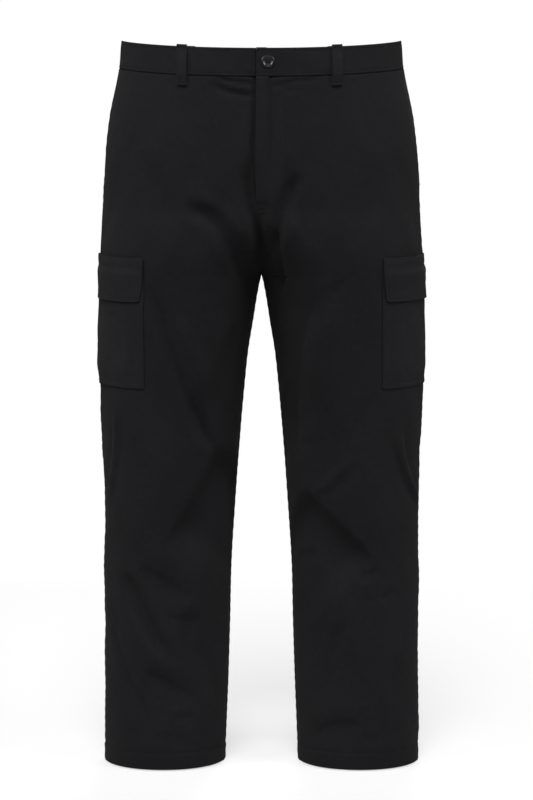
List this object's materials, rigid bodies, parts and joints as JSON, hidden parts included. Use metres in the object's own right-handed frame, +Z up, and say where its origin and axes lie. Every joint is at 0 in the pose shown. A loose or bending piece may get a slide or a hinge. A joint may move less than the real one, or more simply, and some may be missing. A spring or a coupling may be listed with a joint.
{
  "type": "cargo pants, filled out with no wearer",
  "caption": "Black cotton twill cargo pants with a buttoned waistband, belt loops, a fly lap and flapped cargo pockets, held open as if worn.",
  "frame": {"origin": "centre of the waistband ring at the waist, where the wearer holds it up, 22 mm below the top edge at the side seams", "axes": "+Z up, -Y towards the front, +X towards the wearer's left side"},
  "size_m": [0.4914, 0.313, 1.0831],
  "materials": {
    "black_twill": "matte cotton twill",
    "black_button": "semi-gloss"
  },
  "bodies": {
    "root": {"front_left": "black_twill", "front_right": "black_twill", "back_left": "black_twill", "back_right": "black_twill", "waistband_left": "black_twill", "waistband_right": "black_twill", "belt_loop_front_left": "black_twill", "belt_loop_front_right": "black_twill", "belt_loop_back_left": "black_twill", "belt_loop_back_right": "black_twill", "belt_loop_back_centre": "black_twill", "fly_underlap": "black_twill", "waist_button": "black_button", "pocket_bag_left": "black_twill", "pocket_bag_right": "black_twill", "cargo_pocket_left": "black_twill", "cargo_pocket_right": "black_twill", "cargo_flap_left": "black_twill", "cargo_flap_right": "black_twill"}
  },
  "joints": []
}
